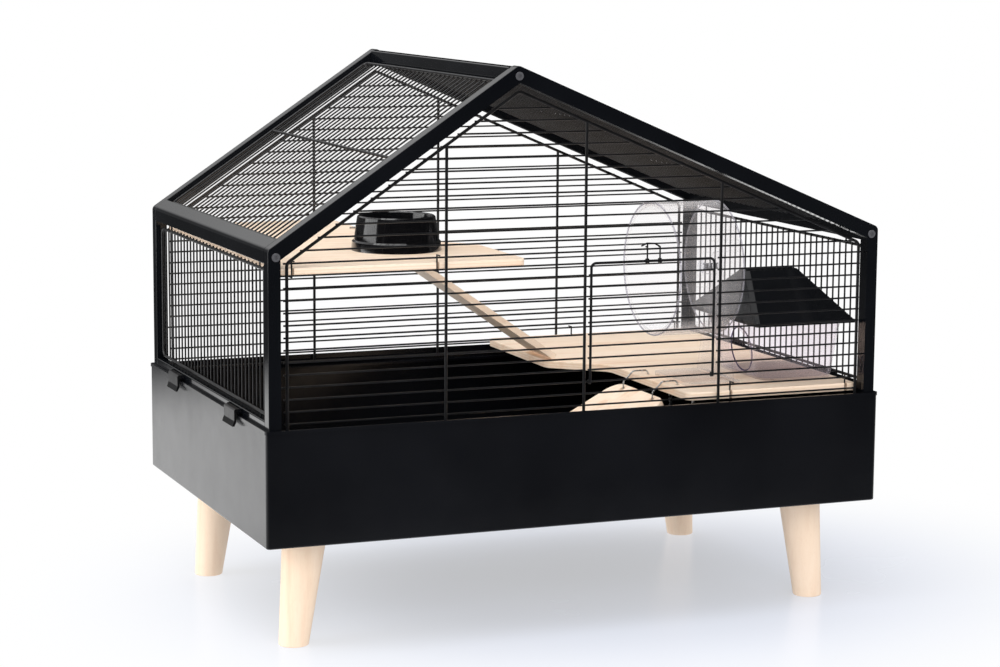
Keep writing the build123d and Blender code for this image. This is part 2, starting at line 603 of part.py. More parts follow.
HATCH_ROWS = range(-6, 3)
with BuildPart(RIGHT_ROOF) as roof_panel_right:
    with BuildLine(RIGHT_ROOF.offset(EDGE_LEVEL)) as edge_line:
        Polyline(
            (RIGHT_PANEL_START, -ROOF_PANEL_Y),
            (RIGHT_PANEL_END, -ROOF_PANEL_Y),
            (RIGHT_PANEL_END, ROOF_PANEL_Y),
            (RIGHT_PANEL_START, ROOF_PANEL_Y),
            close=True,
        )
        fillet(edge_line.vertices(), EDGE_BEND)
    with BuildSketch(Plane(origin=edge_line.wire() @ 0, z_dir=edge_line.wire() % 0)):
        Circle(EDGE_RADIUS)
    sweep(path=edge_line.wire())
    roof_length = RIGHT_PANEL_END - RIGHT_PANEL_START + 2 * WIRE_TAIL
    roof_middle = (RIGHT_PANEL_START + RIGHT_PANEL_END) / 2
    full_rows = [
        row for row in range(-WIRE_COUNT, WIRE_COUNT + 1) if row not in TIE_ROWS and row not in HATCH_ROWS
    ]
    bars_x([(roof_middle, row * WALL_PITCH, BAR_LEVEL) for row in full_rows], roof_length, BAR_RADIUS)
    tie_start = RIGHT_PANEL_START - WIRE_TAIL
    tie_end = RIGHT_SLOPE - TIE_START
    tie_middle = (tie_start + tie_end) / 2
    bars_x([(tie_middle, row * WALL_PITCH, BAR_LEVEL) for row in TIE_ROWS], tie_end - tie_start, BAR_RADIUS)
    upper_start = RIGHT_PANEL_START - WIRE_TAIL
    upper_end = HATCH_START - 0.2
    upper_middle = (upper_start + upper_end) / 2
    bars_x([(upper_middle, row * WALL_PITCH, BAR_LEVEL) for row in HATCH_ROWS], upper_end - upper_start, BAR_RADIUS)
    lower_start = HATCH_END + 0.3
    lower_end = RIGHT_PANEL_END + WIRE_TAIL
    lower_middle = (lower_start + lower_end) / 2
    bars_x([(lower_middle, row * WALL_PITCH, BAR_LEVEL) for row in HATCH_ROWS], lower_end - lower_start, BAR_RADIUS)
    cross_wires = [HATCH_START - 2.0, HATCH_END + 2.0, RIGHT_TIE_WIRE]
    bars_y([(position, 0, EDGE_LEVEL) for position in cross_wires], 2 * ROOF_PANEL_Y, UPRIGHT_RADIUS)
    opening_middle = (HATCH_START + HATCH_END) / 2
    opening_length = HATCH_END - HATCH_START + 12.0
    side_wires = [(opening_middle, row * WALL_PITCH, EDGE_LEVEL) for row in (-7, 3)]
    bars_x(side_wires, opening_length, UPRIGHT_RADIUS)
save(roof_panel_right, "roof_panel_right")

# ================================================================ roof hatch
HATCH_AXIS = HATCH_START - 2.0
HATCH_EYE_ROWS = (-5.5, 1.5)
HATCH_EYE_RADIUS = 3.4
HATCH_FRAME_START = HATCH_START + 2.0
HATCH_FRAME_END = HATCH_END - 4.0
with BuildPart(RIGHT_ROOF) as roof_hatch:
    with BuildLine(RIGHT_ROOF.offset(EDGE_LEVEL)) as edge_line:
        Polyline(
            (HATCH_FRAME_START, HATCH_FRONT_Y + 2),
            (HATCH_FRAME_END, HATCH_FRONT_Y + 2),
            (HATCH_FRAME_END, HATCH_BACK_Y - 2),
            (HATCH_FRAME_START, HATCH_BACK_Y - 2),
            close=True,
        )
        fillet(edge_line.vertices(), 5.0)
    with BuildSketch(Plane(origin=edge_line.wire() @ 0, z_dir=edge_line.wire() % 0)):
        Circle(DOOR_WIRE_RADIUS)
    sweep(path=edge_line.wire())
    hatch_middle = (HATCH_START + HATCH_END) / 2
    hatch_length = HATCH_END - HATCH_START - 1.8
    bars_x([(hatch_middle, row * WALL_PITCH, BAR_LEVEL) for row in HATCH_ROWS], hatch_length, BAR_RADIUS)
    bars_y([(HATCH_AXIS, row * WALL_PITCH, EDGE_LEVEL) for row in HATCH_EYE_ROWS], EYE_WIDTH, HATCH_EYE_RADIUS)
    with Locations(*[(HATCH_AXIS, row * WALL_PITCH, EDGE_LEVEL) for row in HATCH_EYE_ROWS]):
        Cylinder(UPRIGHT_RADIUS + PIVOT_CLEARANCE, EYE_WIDTH + 1, rotation=(90, 0, 0), mode=Mode.SUBTRACT)
save(roof_hatch, "roof_hatch")

HATCH_LATCH_ROWS = (0.5, 1.5)
HATCH_LATCH_HEIGHT = 16.0
HATCH_LIP_LEVEL = EDGE_LEVEL + UPRIGHT_RADIUS + 0.5 + LATCH_RADIUS
COIL_RADIUS = 3.2
COIL_WIDTH = 3.2
LATCH_BEND = 3.0
with BuildPart(RIGHT_ROOF) as hatch_latch:
    coil_spots = [(HATCH_FRAME_END, row * WALL_PITCH, EDGE_LEVEL) for row in HATCH_LATCH_ROWS]
    bars_y(coil_spots, COIL_WIDTH, COIL_RADIUS)
    loop_plane = Plane(
        origin=RIGHT_ROOF.from_local_coords((HATCH_FRAME_END, 0, EDGE_LEVEL)),
        x_dir=(0, 1, 0),
        z_dir=RIGHT_ROOF.x_dir,
    )
    low_y = HATCH_LATCH_ROWS[0] * WALL_PITCH
    high_y = HATCH_LATCH_ROWS[1] * WALL_PITCH
    with BuildLine(loop_plane) as loop:
        Polyline((low_y, 2.4), (low_y, HATCH_LATCH_HEIGHT), (high_y, HATCH_LATCH_HEIGHT), (high_y, 2.4))
        fillet(loop.vertices().sort_by(Axis(origin=(0, 0, 0), direction=RIGHT_ROOF.z_dir))[-2:], LATCH_BEND)
    with BuildSketch(Plane(origin=loop.wire() @ 0, z_dir=loop.wire() % 0)):
        Circle(LATCH_RADIUS)
    sweep(path=loop.wire())
    for row in HATCH_LATCH_ROWS:
        bars_x([(HATCH_FRAME_END + 3.2, row * WALL_PITCH, HATCH_LIP_LEVEL)], 6.4, LATCH_RADIUS)
    with Locations(*coil_spots):
        Cylinder(DOOR_WIRE_RADIUS + PIVOT_CLEARANCE, COIL_WIDTH + 1, rotation=(90, 0, 0), mode=Mode.SUBTRACT)
save(hatch_latch, "hatch_latch")

# ================================================================ front door
DOOR_Y = -(PANEL_Y + BAR_RADIUS + DOOR_WIRE_RADIUS - WELD_SINK)
DOOR_AXIS_Z = row_z(DOOR_HINGE_ROW)
DOOR_TOP_Z = row_z(DOOR_TOP_ROW)
with BuildPart() as front_door:
    with BuildLine(Plane.XZ.offset(-DOOR_Y)) as edge_line:
        Polyline(
            (DOOR_LEFT, DOOR_AXIS_Z),
            (DOOR_LEFT, DOOR_TOP_Z),
            (DOOR_RIGHT, DOOR_TOP_Z),
            (DOOR_RIGHT, DOOR_AXIS_Z),
        )
        fillet(edge_line.vertices().group_by(Axis.Z)[-1], 6.0)
    with BuildSketch(Plane(origin=edge_line.wire() @ 0, z_dir=edge_line.wire() % 0)):
        Circle(DOOR_WIRE_RADIUS)
    sweep(path=edge_line.wire())
    door_middle = (DOOR_LEFT + DOOR_RIGHT) / 2
    door_rows = range(DOOR_HINGE_ROW + 1, DOOR_TOP_ROW)
    door_bar_length = DOOR_RIGHT - DOOR_LEFT + 4.4
    bars_x([(door_middle, -PANEL_Y, row_z(row)) for row in door_rows], door_bar_length, BAR_RADIUS)
    eye_spots = [(DOOR_LEFT, -PANEL_Y, DOOR_AXIS_Z), (DOOR_RIGHT, -PANEL_Y, DOOR_AXIS_Z)]
    bars_x(eye_spots, EYE_WIDTH, EYE_RADIUS)
    with Locations(*eye_spots):
        Cylinder(BAR_RADIUS + PIVOT_CLEARANCE, EYE_WIDTH + 2, rotation=(0, 90, 0), mode=Mode.SUBTRACT)
save(front_door, "front_door")

LATCH_TOP_Z = row_z(0) + BAR_RADIUS + 0.5 + LATCH_RADIUS
with BuildPart() as door_latch:
    coil_spots = [(LATCH_LEFT, DOOR_Y, DOOR_TOP_Z), (LATCH_RIGHT, DOOR_Y, DOOR_TOP_Z)]
    bars_x(coil_spots, COIL_WIDTH, COIL_RADIUS)
    with BuildLine(Plane.XZ.offset(-DOOR_Y)) as loop:
        Polyline(
            (LATCH_RIGHT, DOOR_TOP_Z + 2.4),
            (LATCH_RIGHT, LATCH_TOP_Z),
            (LATCH_RIGHT - 7, LATCH_TOP_Z + 4.0),
            (LATCH_LEFT - 1, LATCH_TOP_Z + 4.6),
            (LATCH_LEFT - 8, LATCH_TOP_Z + 1.5),
        )
        fillet(loop.vertices().filter_by(lambda v: LATCH_LEFT - 5 < v.X and v.Z > LATCH_TOP_Z - 1), 2.5)
    with BuildSketch(Plane(origin=loop.wire() @ 0, z_dir=loop.wire() % 0)):
        Circle(LATCH_RADIUS)
    sweep(path=loop.wire())
    left_stem_middle = (DOOR_TOP_Z + LATCH_TOP_Z) / 2 + 3.4
    bars_z([(LATCH_LEFT, DOOR_Y, left_stem_middle)], LATCH_TOP_Z - DOOR_TOP_Z + 2.0, LATCH_RADIUS)
    bars_y([(LATCH_LEFT, DOOR_Y + 2.0, LATCH_TOP_Z), (LATCH_RIGHT, DOOR_Y + 2.0, LATCH_TOP_Z)], 4.0, LATCH_RADIUS)
    with Locations(*coil_spots):
        Cylinder(DOOR_WIRE_RADIUS + PIVOT_CLEARANCE, COIL_WIDTH + 1, rotation=(0, 90, 0), mode=Mode.SUBTRACT)
save(door_latch, "door_latch")

# ================================================================ upper shelf and lower platform
STEP_ROUND = 38.0
PLATFORM_ROUND = 20.0
BOARD_EASE = 1.2
BOARD_CORNER = 10.0
SHELF_STEP_X = -73.0
SHELF_BACK_X = -152.0
PLATFORM_STEP_X = 142.0
PLATFORM_BACK_X = 76.0
HOOK_Y = (-188.0, -102.0)
HOOK_HOLE_X = PLATFORM_STEP_X + 15.0
HOOK_HOLE_RADIUS = 3.0
LEG_ROD_RADIUS = 2.5
LEG_ROD_SPOTS = ((156.0, -236.0), (352.0, 234.0))

with BuildPart() as upper_shelf:
    with BuildSketch(Plane.XY.offset(SHELF_TOP - BOARD_THICKNESS)) as shelf_plan:
        with BuildLine():
            Polyline(
                (-BOARD_SIDE_X, -BOARD_Y),
                (SHELF_STEP_X, -BOARD_Y),
                (SHELF_STEP_X, -85.0),
                (SHELF_BACK_X, -12.0),
                (SHELF_BACK_X, BOARD_Y),
                (-BOARD_SIDE_X, BOARD_Y),
                close=True,
            )
        make_face()
        fillet(shelf_plan.vertices().filter_by(lambda v: -100 < v.Y < 0), STEP_ROUND)
        fillet(shelf_plan.vertices().filter_by(lambda v: abs(v.Y) > BOARD_Y - 1 and v.X > -200), BOARD_CORNER)
    extrude(amount=BOARD_THICKNESS)
    shelf_faces = upper_shelf.faces().sort_by(Axis.Z)
    fillet(shelf_faces[0].edges() + shelf_faces[-1].edges(), BOARD_EASE)
    shelf_notches = [
        (-x, side * BOARD_Y, SHELF_TOP - 5)
        for x in (SHELF_NOTCH_X, NOTCH_OUTER_X)
        for side in (-1, 1)
    ]
    with Locations(*shelf_notches):
        Box(NOTCH_WIDTH, 2 * NOTCH_DEPTH, 20, mode=Mode.SUBTRACT)
save(upper_shelf, "upper_shelf")

with BuildPart() as lower_platform:
    with BuildSketch(Plane.XY.offset(PLATFORM_TOP - BOARD_THICKNESS)) as platform_plan:
        with BuildLine():
            Polyline(
                (BOARD_SIDE_X, -BOARD_Y),
                (PLATFORM_STEP_X, -BOARD_Y),
                (PLATFORM_STEP_X, -18.0),
                (PLATFORM_BACK_X, 42.0),
                (PLATFORM_BACK_X, BOARD_Y),
                (BOARD_SIDE_X, BOARD_Y),
                close=True,
            )
        make_face()
        fillet(platform_plan.vertices().filter_by(lambda v: -100 < v.Y < 50), PLATFORM_ROUND)
        fillet(platform_plan.vertices().filter_by(lambda v: abs(v.Y) > BOARD_Y - 1 and v.X < 200), BOARD_CORNER)
    extrude(amount=BOARD_THICKNESS)
    platform_faces = lower_platform.faces().sort_by(Axis.Z)
    fillet(platform_faces[0].edges() + platform_faces[-1].edges(), BOARD_EASE)
    platform_notches = [
        (x, side * BOARD_Y, PLATFORM_TOP - 5)
        for x in (PLATFORM_NOTCH_X, NOTCH_OUTER_X)
        for side in (-1, 1)
    ]
    with Locations(*platform_notches):
        Box(NOTCH_WIDTH, 2 * NOTCH_DEPTH, 20, mode=Mode.SUBTRACT)
    with Locations(*[(HOOK_HOLE_X, y, PLATFORM_TOP - 5) for y in HOOK_Y]):
        Cylinder(HOOK_HOLE_RADIUS, 20, mode=Mode.SUBTRACT)
    with Locations(*[(x, y, PLATFORM_TOP - BOARD_THICKNESS) for x, y in LEG_ROD_SPOTS]):
        Cylinder(LEG_ROD_RADIUS + 0.05, 12, mode=Mode.SUBTRACT)
save(lower_platform, "lower_platform")

rod_bottom = TRAY_BOTTOM + TRAY_WALL + 0.3
rod_top = PLATFORM_TOP - BOARD_THICKNESS + 5.5
with BuildPart() as platform_rods:
    rod_middle = (rod_bottom + rod_top) / 2
    bars_z([(x, y, rod_middle) for x, y in LEG_ROD_SPOTS], rod_top - rod_bottom, LEG_ROD_RADIUS)
save(platform_rods, "platform_rods")

HOOK_THICKNESS = 1.4
HOOK_WIDTH = 1.6
HOOK_INSET = 3.4
HOOK_FOOT = 12.0


def board_hooks(xs, hook_row, board_bottom):
    """Flat hooks that hang a board from a wire of each gable panel."""
    top_z = row_z(hook_row) + BAR_RADIUS + 0.4 + HOOK_THICKNESS / 2
    low_z = board_bottom - 0.4 - HOOK_THICKNESS / 2
    for side in (-1, 1):
        stem_y = side * (BOARD_Y - HOOK_INSET)
        arm_length = PANEL_Y + BAR_RADIUS + HOOK_INSET - BOARD_Y + HOOK_THICKNESS / 2
        with Locations(*[(x, stem_y, (top_z + low_z) / 2) for x in xs]):
            Box(HOOK_WIDTH, HOOK_THICKNESS, top_z - low_z + HOOK_THICKNESS)
        with Locations(*[(x, stem_y + side * (arm_length - HOOK_THICKNESS / 2) / 2, top_z) for x in xs]):
            Box(HOOK_WIDTH, arm_length + HOOK_THICKNESS / 2, HOOK_THICKNESS)
        with Locations(*[(x, stem_y - side * (HOOK_FOOT - HOOK_THICKNESS) / 2, low_z) for x in xs]):
            Box(HOOK_WIDTH, HOOK_FOOT, HOOK_THICKNESS)


with BuildPart() as shelf_hooks:
    board_hooks((-SHELF_NOTCH_X, -NOTCH_OUTER_X), 0, SHELF_TOP - BOARD_THICKNESS)
save(shelf_hooks, "shelf_hooks")

with BuildPart() as platform_hooks:
    board_hooks((PLATFORM_NOTCH_X, NOTCH_OUTER_X), -12, PLATFORM_TOP - BOARD_THICKNESS)
save(platform_hooks, "platform_hooks")

# ================================================================ ramp between the levels
ramp_run = RAMP_FOOT_X - RAMP_TOP_X
ramp_drop = SHELF_TOP - RAMP_FOOT_Z
ramp_slant = hypot(ramp_run, ramp_drop)
ramp_lift = RAMP_THICKNESS * ramp_slant / ramp_run
RAMP_END_X = RAMP_TOP_X + 2.0
RAMP_END_TOP = SHELF_TOP - 2.0 * ramp_drop / ramp_run
RAMP_END_ROUND = 2.6
TREAD_PITCH = 22.0
TREAD_FIRST = 34.0
TREAD_COUNT = 12
TREAD_WIDTH = 3.0
TREAD_DEPTH = 0.8
TREAD_MARGIN = 7.0
BAIL_RADIUS = 1.2
BAIL_X = -145.2
BAIL_Z = SHELF_TOP - (BAIL_X - RAMP_TOP_X) * ramp_drop / ramp_run - ramp_lift / 2
BAIL_SIDE_GAP = 3.0
RAMP_MIDDLE_Y = (RAMP_FRONT_Y + RAMP_BACK_Y) / 2
RAMP_WIDTH = RAMP_BACK_Y - RAMP_FRONT_Y
RAMP_PLANE = Plane(
    origin=(RAMP_TOP_X, 0, SHELF_TOP),
    x_dir=(ramp_run, 0, -ramp_drop),
    z_dir=(ramp_drop, 0, ramp_run),
)
with BuildPart() as ramp:
    with BuildSketch(Plane.XZ.offset(-RAMP_FRONT_Y)):
        with BuildLine():
            foot_under = (
                RAMP_FOOT_X - RAMP_THICKNESS * ramp_drop / ramp_slant,
                RAMP_FOOT_Z - RAMP_THICKNESS * ramp_run / ramp_slant,
            )
            Polyline(
                (RAMP_END_X, RAMP_END_TOP),
                (RAMP_FOOT_X, RAMP_FOOT_Z),
                foot_under,
                (RAMP_END_X, RAMP_END_TOP - ramp_lift),
                close=True,
            )
        make_face()
    extrude(amount=-RAMP_WIDTH)
    end_edges = ramp.edges().filter_by(Axis.Y).sort_by(Axis.X)[:2]
    fillet(end_edges, RAMP_END_ROUND)
    with Locations(RAMP_PLANE):
        tread_spots = [(TREAD_FIRST + step * TREAD_PITCH, RAMP_MIDDLE_Y, 0) for step in range(TREAD_COUNT)]
        with Locations(*tread_spots):
            Box(TREAD_WIDTH, RAMP_WIDTH - 2 * TREAD_MARGIN, 2 * TREAD_DEPTH, mode=Mode.SUBTRACT)
    with Locations((BAIL_X, RAMP_MIDDLE_Y, BAIL_Z)):
        Cylinder(BAIL_RADIUS + PIVOT_CLEARANCE, RAMP_WIDTH + 2, rotation=(90, 0, 0), mode=Mode.SUBTRACT)
save(ramp, "ramp")

bail_front = RAMP_FRONT_Y - BAIL_SIDE_GAP
bail_back = RAMP_BACK_Y + BAIL_SIDE_GAP
bail_top = SHELF_TOP + BAIL_RADIUS + 0.3
with BuildPart() as ramp_bail:
    with BuildLine() as bail_line:
        Polyline(
            (SHELF_BACK_X - 16.0, bail_front, bail_top),
            (BAIL_X - 2.0, bail_front, bail_top),
            (BAIL_X, bail_front, BAIL_Z),
            (BAIL_X, bail_back, BAIL_Z),
            (BAIL_X - 2.0, bail_back, bail_top),
            (SHELF_BACK_X - 16.0, bail_back, bail_top),
        )
    with BuildSketch(Plane(origin=bail_line.wire() @ 0, z_dir=bail_line.wire() % 0)):
        Circle(BAIL_RADIUS)
    sweep(path=bail_line.wire(), transition=Transition.ROUND)
save(ramp_bail, "ramp_bail")

# ================================================================ hanging board and its hooks
BRIDGE_ANGLE = 28.0
BRIDGE_LENGTH = 260.0
BRIDGE_WIDTH = 146.0
BRIDGE_THICKNESS = 8.0
BRIDGE_TOP = (128.0, 273.0)
BRIDGE_Y = sum(HOOK_Y) / 2
BRIDGE_CORNER = 22.0
BRIDGE_HOLE = 8.0
BRIDGE_HOLE_RADIUS = 4.2
bridge_cos = cos(radians(BRIDGE_ANGLE))
bridge_sin = sin(radians(BRIDGE_ANGLE))
BRIDGE_PLANE = Plane(
    origin=(BRIDGE_TOP[0], BRIDGE_Y, BRIDGE_TOP[1]),
    x_dir=(-bridge_cos, 0, -bridge_sin),
    z_dir=(-bridge_sin, 0, bridge_cos),
)
hook_half = (HOOK_Y[1] - HOOK_Y[0]) / 2
with BuildPart(BRIDGE_PLANE) as bridge_board:
    with Locations((BRIDGE_LENGTH / 2, 0, -BRIDGE_THICKNESS / 2)):
        Box(BRIDGE_LENGTH, BRIDGE_WIDTH, BRIDGE_THICKNESS)
    fillet(bridge_board.edges().filter_by(lambda edge: abs(edge.length - BRIDGE_THICKNESS) < 0.1), BRIDGE_CORNER)
    with Locations((BRIDGE_HOLE, -hook_half, 0), (BRIDGE_HOLE, hook_half, 0)):
        Cylinder(BRIDGE_HOLE_RADIUS, 4 * BRIDGE_THICKNESS, mode=Mode.SUBTRACT)
save(bridge_board, "bridge_board")

BRIDGE_HOOK_RADIUS = 1.1
BRIDGE_HOOK_STEM_X = 122.8
BRIDGE_HOOK_BEND = 3.6
BRIDGE_HOOK_LOW_Z = 256.1
BRIDGE_HOOK_TIP_X = BRIDGE_HOOK_STEM_X + 2 * BRIDGE_HOOK_BEND
BRIDGE_HOOK_TOP_Z = PLATFORM_TOP + 5.0
BRIDGE_HOOK_UPPER_BEND = 5.0
with BuildPart() as bridge_hook:
    with BuildLine(Plane.XZ.offset(-HOOK_Y[0])) as hook_line:
        Polyline(
            (HOOK_HOLE_X, PLATFORM_TOP - BOARD_THICKNESS - 4.0),
            (HOOK_HOLE_X, BRIDGE_HOOK_TOP_Z),
            (HOOK_HOLE_X - 21.0, BRIDGE_HOOK_TOP_Z),
            (BRIDGE_HOOK_STEM_X, BRIDGE_HOOK_TOP_Z - 13.0),
            (BRIDGE_HOOK_STEM_X, BRIDGE_HOOK_LOW_Z),
            (BRIDGE_HOOK_TIP_X, BRIDGE_HOOK_LOW_Z),
            (BRIDGE_HOOK_TIP_X, BRIDGE_HOOK_LOW_Z + BRIDGE_HOOK_BEND + 1.5),
        )
        upper_bends = hook_line.vertices().filter_by(lambda v: v.Z > BRIDGE_TOP[1])
        fillet(upper_bends, BRIDGE_HOOK_UPPER_BEND)
        fillet(hook_line.vertices().filter_by(lambda v: v.Z < BRIDGE_HOOK_LOW_Z + 1), BRIDGE_HOOK_BEND - 0.05)
    with BuildSketch(Plane(origin=hook_line.wire() @ 0, z_dir=hook_line.wire() % 0)):
        Circle(BRIDGE_HOOK_RADIUS)
    sweep(path=hook_line.wire())
with BuildPart() as bridge_hooks:
    with Locations((0, 0, 0), (0, HOOK_Y[1] - HOOK_Y[0], 0)):
        add(bridge_hook.part)
save(bridge_hooks, "bridge_hooks")

# ================================================================ food bowl
with BuildPart() as bowl:
    with BuildSketch(Plane(origin=(BOWL_X, BOWL_Y, SHELF_TOP), x_dir=(1, 0, 0), z_dir=(0, -1, 0))):
        with BuildLine():
            Polyline(
                (0, 7.0),
                (32.0, 7.0),
                (40.0, 12.0),
                (44.0, BOWL_HEIGHT - 1.5),
                (45.5, BOWL_HEIGHT),
                (47.5, BOWL_HEIGHT - 1.5),
                (52.0, 12.5),
                (54.0, 10.5),
                (55.0, 0),
                (51.0, 0),
                (50.0, 9.0),
                (45.0, 9.0),
                (37.0, 4.5),
                (0, 4.5),
                close=True,
            )
        make_face()
    revolve(axis=Axis((BOWL_X, BOWL_Y, 0), (0, 0, 1)))
save(bowl, "bowl")

# ================================================================ running wheel
WHEEL_PLANE = Plane(origin=(WHEEL_LEFT, WHEEL_Y, WHEEL_Z), x_dir=(0, 1, 0), z_dir=(1, 0, 0))
WHEEL_WIDTH = WHEEL_RIGHT - WHEEL_LEFT
WHEEL_OPENING = 78.0
HUB_RADIUS = 10.0
HUB_LENGTH = 14.0
RUNG_COUNT = 36
RUNG_SIZE = 1.4
with BuildPart(WHEEL_PLANE) as wheel:
    Cylinder(WHEEL_RADIUS, WHEEL_WIDTH, align=(Align.CENTER, Align.CENTER, Align.MIN))
    Cylinder(WHEEL_OPENING, WHEEL_WALL, align=(Align.CENTER, Align.CENTER, Align.MIN), mode=Mode.SUBTRACT)
    with Locations((0, 0, WHEEL_WALL)):
        Cylinder(
            WHEEL_RADIUS - WHEEL_WALL,
            WHEEL_WIDTH - 2 * WHEEL_WALL,
            align=(Align.CENTER, Align.CENTER, Align.MIN),
            mode=Mode.SUBTRACT,
        )
    with PolarLocations(WHEEL_RADIUS - WHEEL_WALL - 0.3, RUNG_COUNT):
        with Locations((0, 0, WHEEL_WIDTH / 2)):
            Box(RUNG_SIZE, RUNG_SIZE, WHEEL_WIDTH - 1)
    with Locations((0, 0, WHEEL_WIDTH - HUB_LENGTH)):
        Cylinder(HUB_RADIUS, HUB_LENGTH, align=(Align.CENTER, Align.CENTER, Align.MIN))
    with Locations((0, 0, WHEEL_WIDTH)):
        Cylinder(AXLE_RADIUS + 0.08, 60, mode=Mode.SUBTRACT)
save(wheel, "wheel")

STAND_X = 223.0
STAND_THICKNESS = 4.0
STAND_BASE_START = WHEEL_LEFT + 29.0
STAND_BASE_END = STAND_X + 12.0
STAND_BASE_DEPTH = 116.0
STAND_HEAD = 18.0
STAND_FOOT = 50.0
with BuildPart() as wheel_stand:
    with BuildSketch(Plane.XY.offset(PLATFORM_TOP)):
        with Locations(((STAND_BASE_START + STAND_BASE_END) / 2, WHEEL_Y)):
            RectangleRounded(STAND_BASE_END - STAND_BASE_START, STAND_BASE_DEPTH, 14)
    extrude(amount=STAND_THICKNESS)
    with BuildSketch(Plane(origin=(STAND_X, WHEEL_Y, 0), x_dir=(0, 1, 0), z_dir=(1, 0, 0))):
        with BuildLine():
            Polyline(
                (-STAND_FOOT, PLATFORM_TOP),
                (-STAND_HEAD, WHEEL_Z),
                (STAND_HEAD, WHEEL_Z),
                (STAND_FOOT, PLATFORM_TOP),
                close=True,
            )
        make_face()
        with Locations((0, WHEEL_Z)):
            Circle(STAND_HEAD)
    extrude(amount=STAND_THICKNESS)
    with Locations((STAND_X - 1.2, WHEEL_Y, WHEEL_Z)):
        Cylinder(HUB_RADIUS, 2.6, rotation=(0, 90, 0))
    with Locations((STAND_X, WHEEL_Y, WHEEL_Z)):
        Cylinder(AXLE_RADIUS + 0.02, 30, rotation=(0, 90, 0), mode=Mode.SUBTRACT)
save(wheel_stand, "wheel_stand")

AXLE_START = WHEEL_RIGHT - HUB_LENGTH - 3.0
AXLE_END = STAND_X + STAND_THICKNESS
with BuildPart() as wheel_axle:
    with Locations(((AXLE_START + AXLE_END) / 2, WHEEL_Y, WHEEL_Z)):
        Cylinder(AXLE_RADIUS, AXLE_END - AXLE_START, rotation=(0, 90, 0))
    with Locations((AXLE_START - 0.6, WHEEL_Y, WHEEL_Z)):
        Cylinder(8.0, 3.0, rotation=(0, 90, 0))
    fillet(wheel_axle.edges().filter_by(GeomType.CIRCLE).sort_by(Axis.X)[0], 1.0)
save(wheel_axle, "wheel_axle")

# ================================================================ hide house
HOUSE_WALL = 2.0
HOUSE_FOOT = (322.0, -135.0)
HOUSE_FOOT_SIZE = (104.0, 130.0)
HOUSE_HEAD = (314.0, -138.0)
HOUSE_HEAD_SIZE = (122.0, 178.0)
HOUSE_DOOR_Y = -149.0
HOUSE_DOOR_Z = PLATFORM_TOP + 34.0
HOUSE_DOOR_RADIUS = 28.0
ROOF_CENTRE = (312.0, -138.0)
ROOF_SIZE = (140.0, 194.0)
ROOF_CREST = (317.0, -121.0)
CREST_SIZE = (76.0, 26.0)
ROOF_RIM = 4.0
ROOF_RIM_CORNER = 4.0
ROOF_SHELL = 2.4
ROOF_WALL = 4.0
HIP_BEVEL = 4.0
BODY_GAP = 0.4
with BuildPart() as house_body:
    for inset, foot_corner, head_corner, foot_z, body_mode in (
        (0.0, 20.0, 26.0, PLATFORM_TOP, Mode.ADD),
        (2 * HOUSE_WALL, 18.0, 24.0, PLATFORM_TOP + HOUSE_WALL, Mode.SUBTRACT),
    ):
        with BuildSketch(Plane.XY.offset(foot_z)):
            with Locations(HOUSE_FOOT):
                RectangleRounded(HOUSE_FOOT_SIZE[0] - inset, HOUSE_FOOT_SIZE[1] - inset, foot_corner)
        with BuildSketch(Plane.XY.offset(HOUSE_ROOF_Z - BODY_GAP)):
            with Locations(HOUSE_HEAD):
                RectangleRounded(HOUSE_HEAD_SIZE[0] - inset, HOUSE_HEAD_SIZE[1] - inset, head_corner)
        loft(mode=body_mode)
    door_plane = Plane(origin=(HOUSE_FOOT[0], HOUSE_DOOR_Y, HOUSE_DOOR_Z), x_dir=(0, 1, 0), z_dir=(1, 0, 0))
    with BuildSketch(door_plane):
        Circle(HOUSE_DOOR_RADIUS)
    extrude(amount=-HOUSE_HEAD_SIZE[0], mode=Mode.SUBTRACT)
save(house_body, "house_body")

with BuildPart() as house_roof:
    with BuildSketch(Plane.XY.offset(HOUSE_ROOF_Z)):
        with Locations(ROOF_CENTRE):
            Rectangle(*ROOF_SIZE)
    with BuildSketch(Plane.XY.offset(HOUSE_PEAK_Z)):
        with Locations(ROOF_CREST):
            Rectangle(*CREST_SIZE)
    loft()
    hip_edges = house_roof.edges().filter_by(lambda edge: edge.length > 80 and edge.bounding_box().size.Z > 20)
    chamfer(hip_edges, HIP_BEVEL)
    with BuildSketch(Plane.XY.offset(HOUSE_ROOF_Z - ROOF_RIM)):
        with Locations(ROOF_CENTRE):
            RectangleRounded(*ROOF_SIZE, ROOF_RIM_CORNER)
    extrude(amount=ROOF_RIM)
    with BuildSketch(Plane.XY.offset(HOUSE_ROOF_Z)):
        with Locations(ROOF_CENTRE):
            hollow_size = (ROOF_SIZE[0] - 3 * ROOF_WALL, ROOF_SIZE[1] - 3.5 * ROOF_WALL)
            RectangleRounded(*hollow_size, ROOF_RIM_CORNER + 1)
    with BuildSketch(Plane.XY.offset(HOUSE_PEAK_Z - ROOF_SHELL)):
        with Locations(ROOF_CREST):
            RectangleRounded(CREST_SIZE[0] - 2.6 * ROOF_WALL, CREST_SIZE[1] - 2.6 * ROOF_WALL, 3)
    loft(mode=Mode.SUBTRACT)
    with BuildSketch(Plane.XY.offset(HOUSE_ROOF_Z - ROOF_RIM)):
        with Locations(ROOF_CENTRE):
            RectangleRounded(ROOF_SIZE[0] - 2 * ROOF_WALL, ROOF_SIZE[1] - 2 * ROOF_WALL, ROOF_RIM_CORNER)
    extrude(amount=ROOF_RIM, mode=Mode.SUBTRACT)
save(house_roof, "house_roof")
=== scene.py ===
"""Looks for the gabled hamster cage: materials, floor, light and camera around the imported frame."""

import json
import math

import bpy
from mathutils import Matrix, Vector


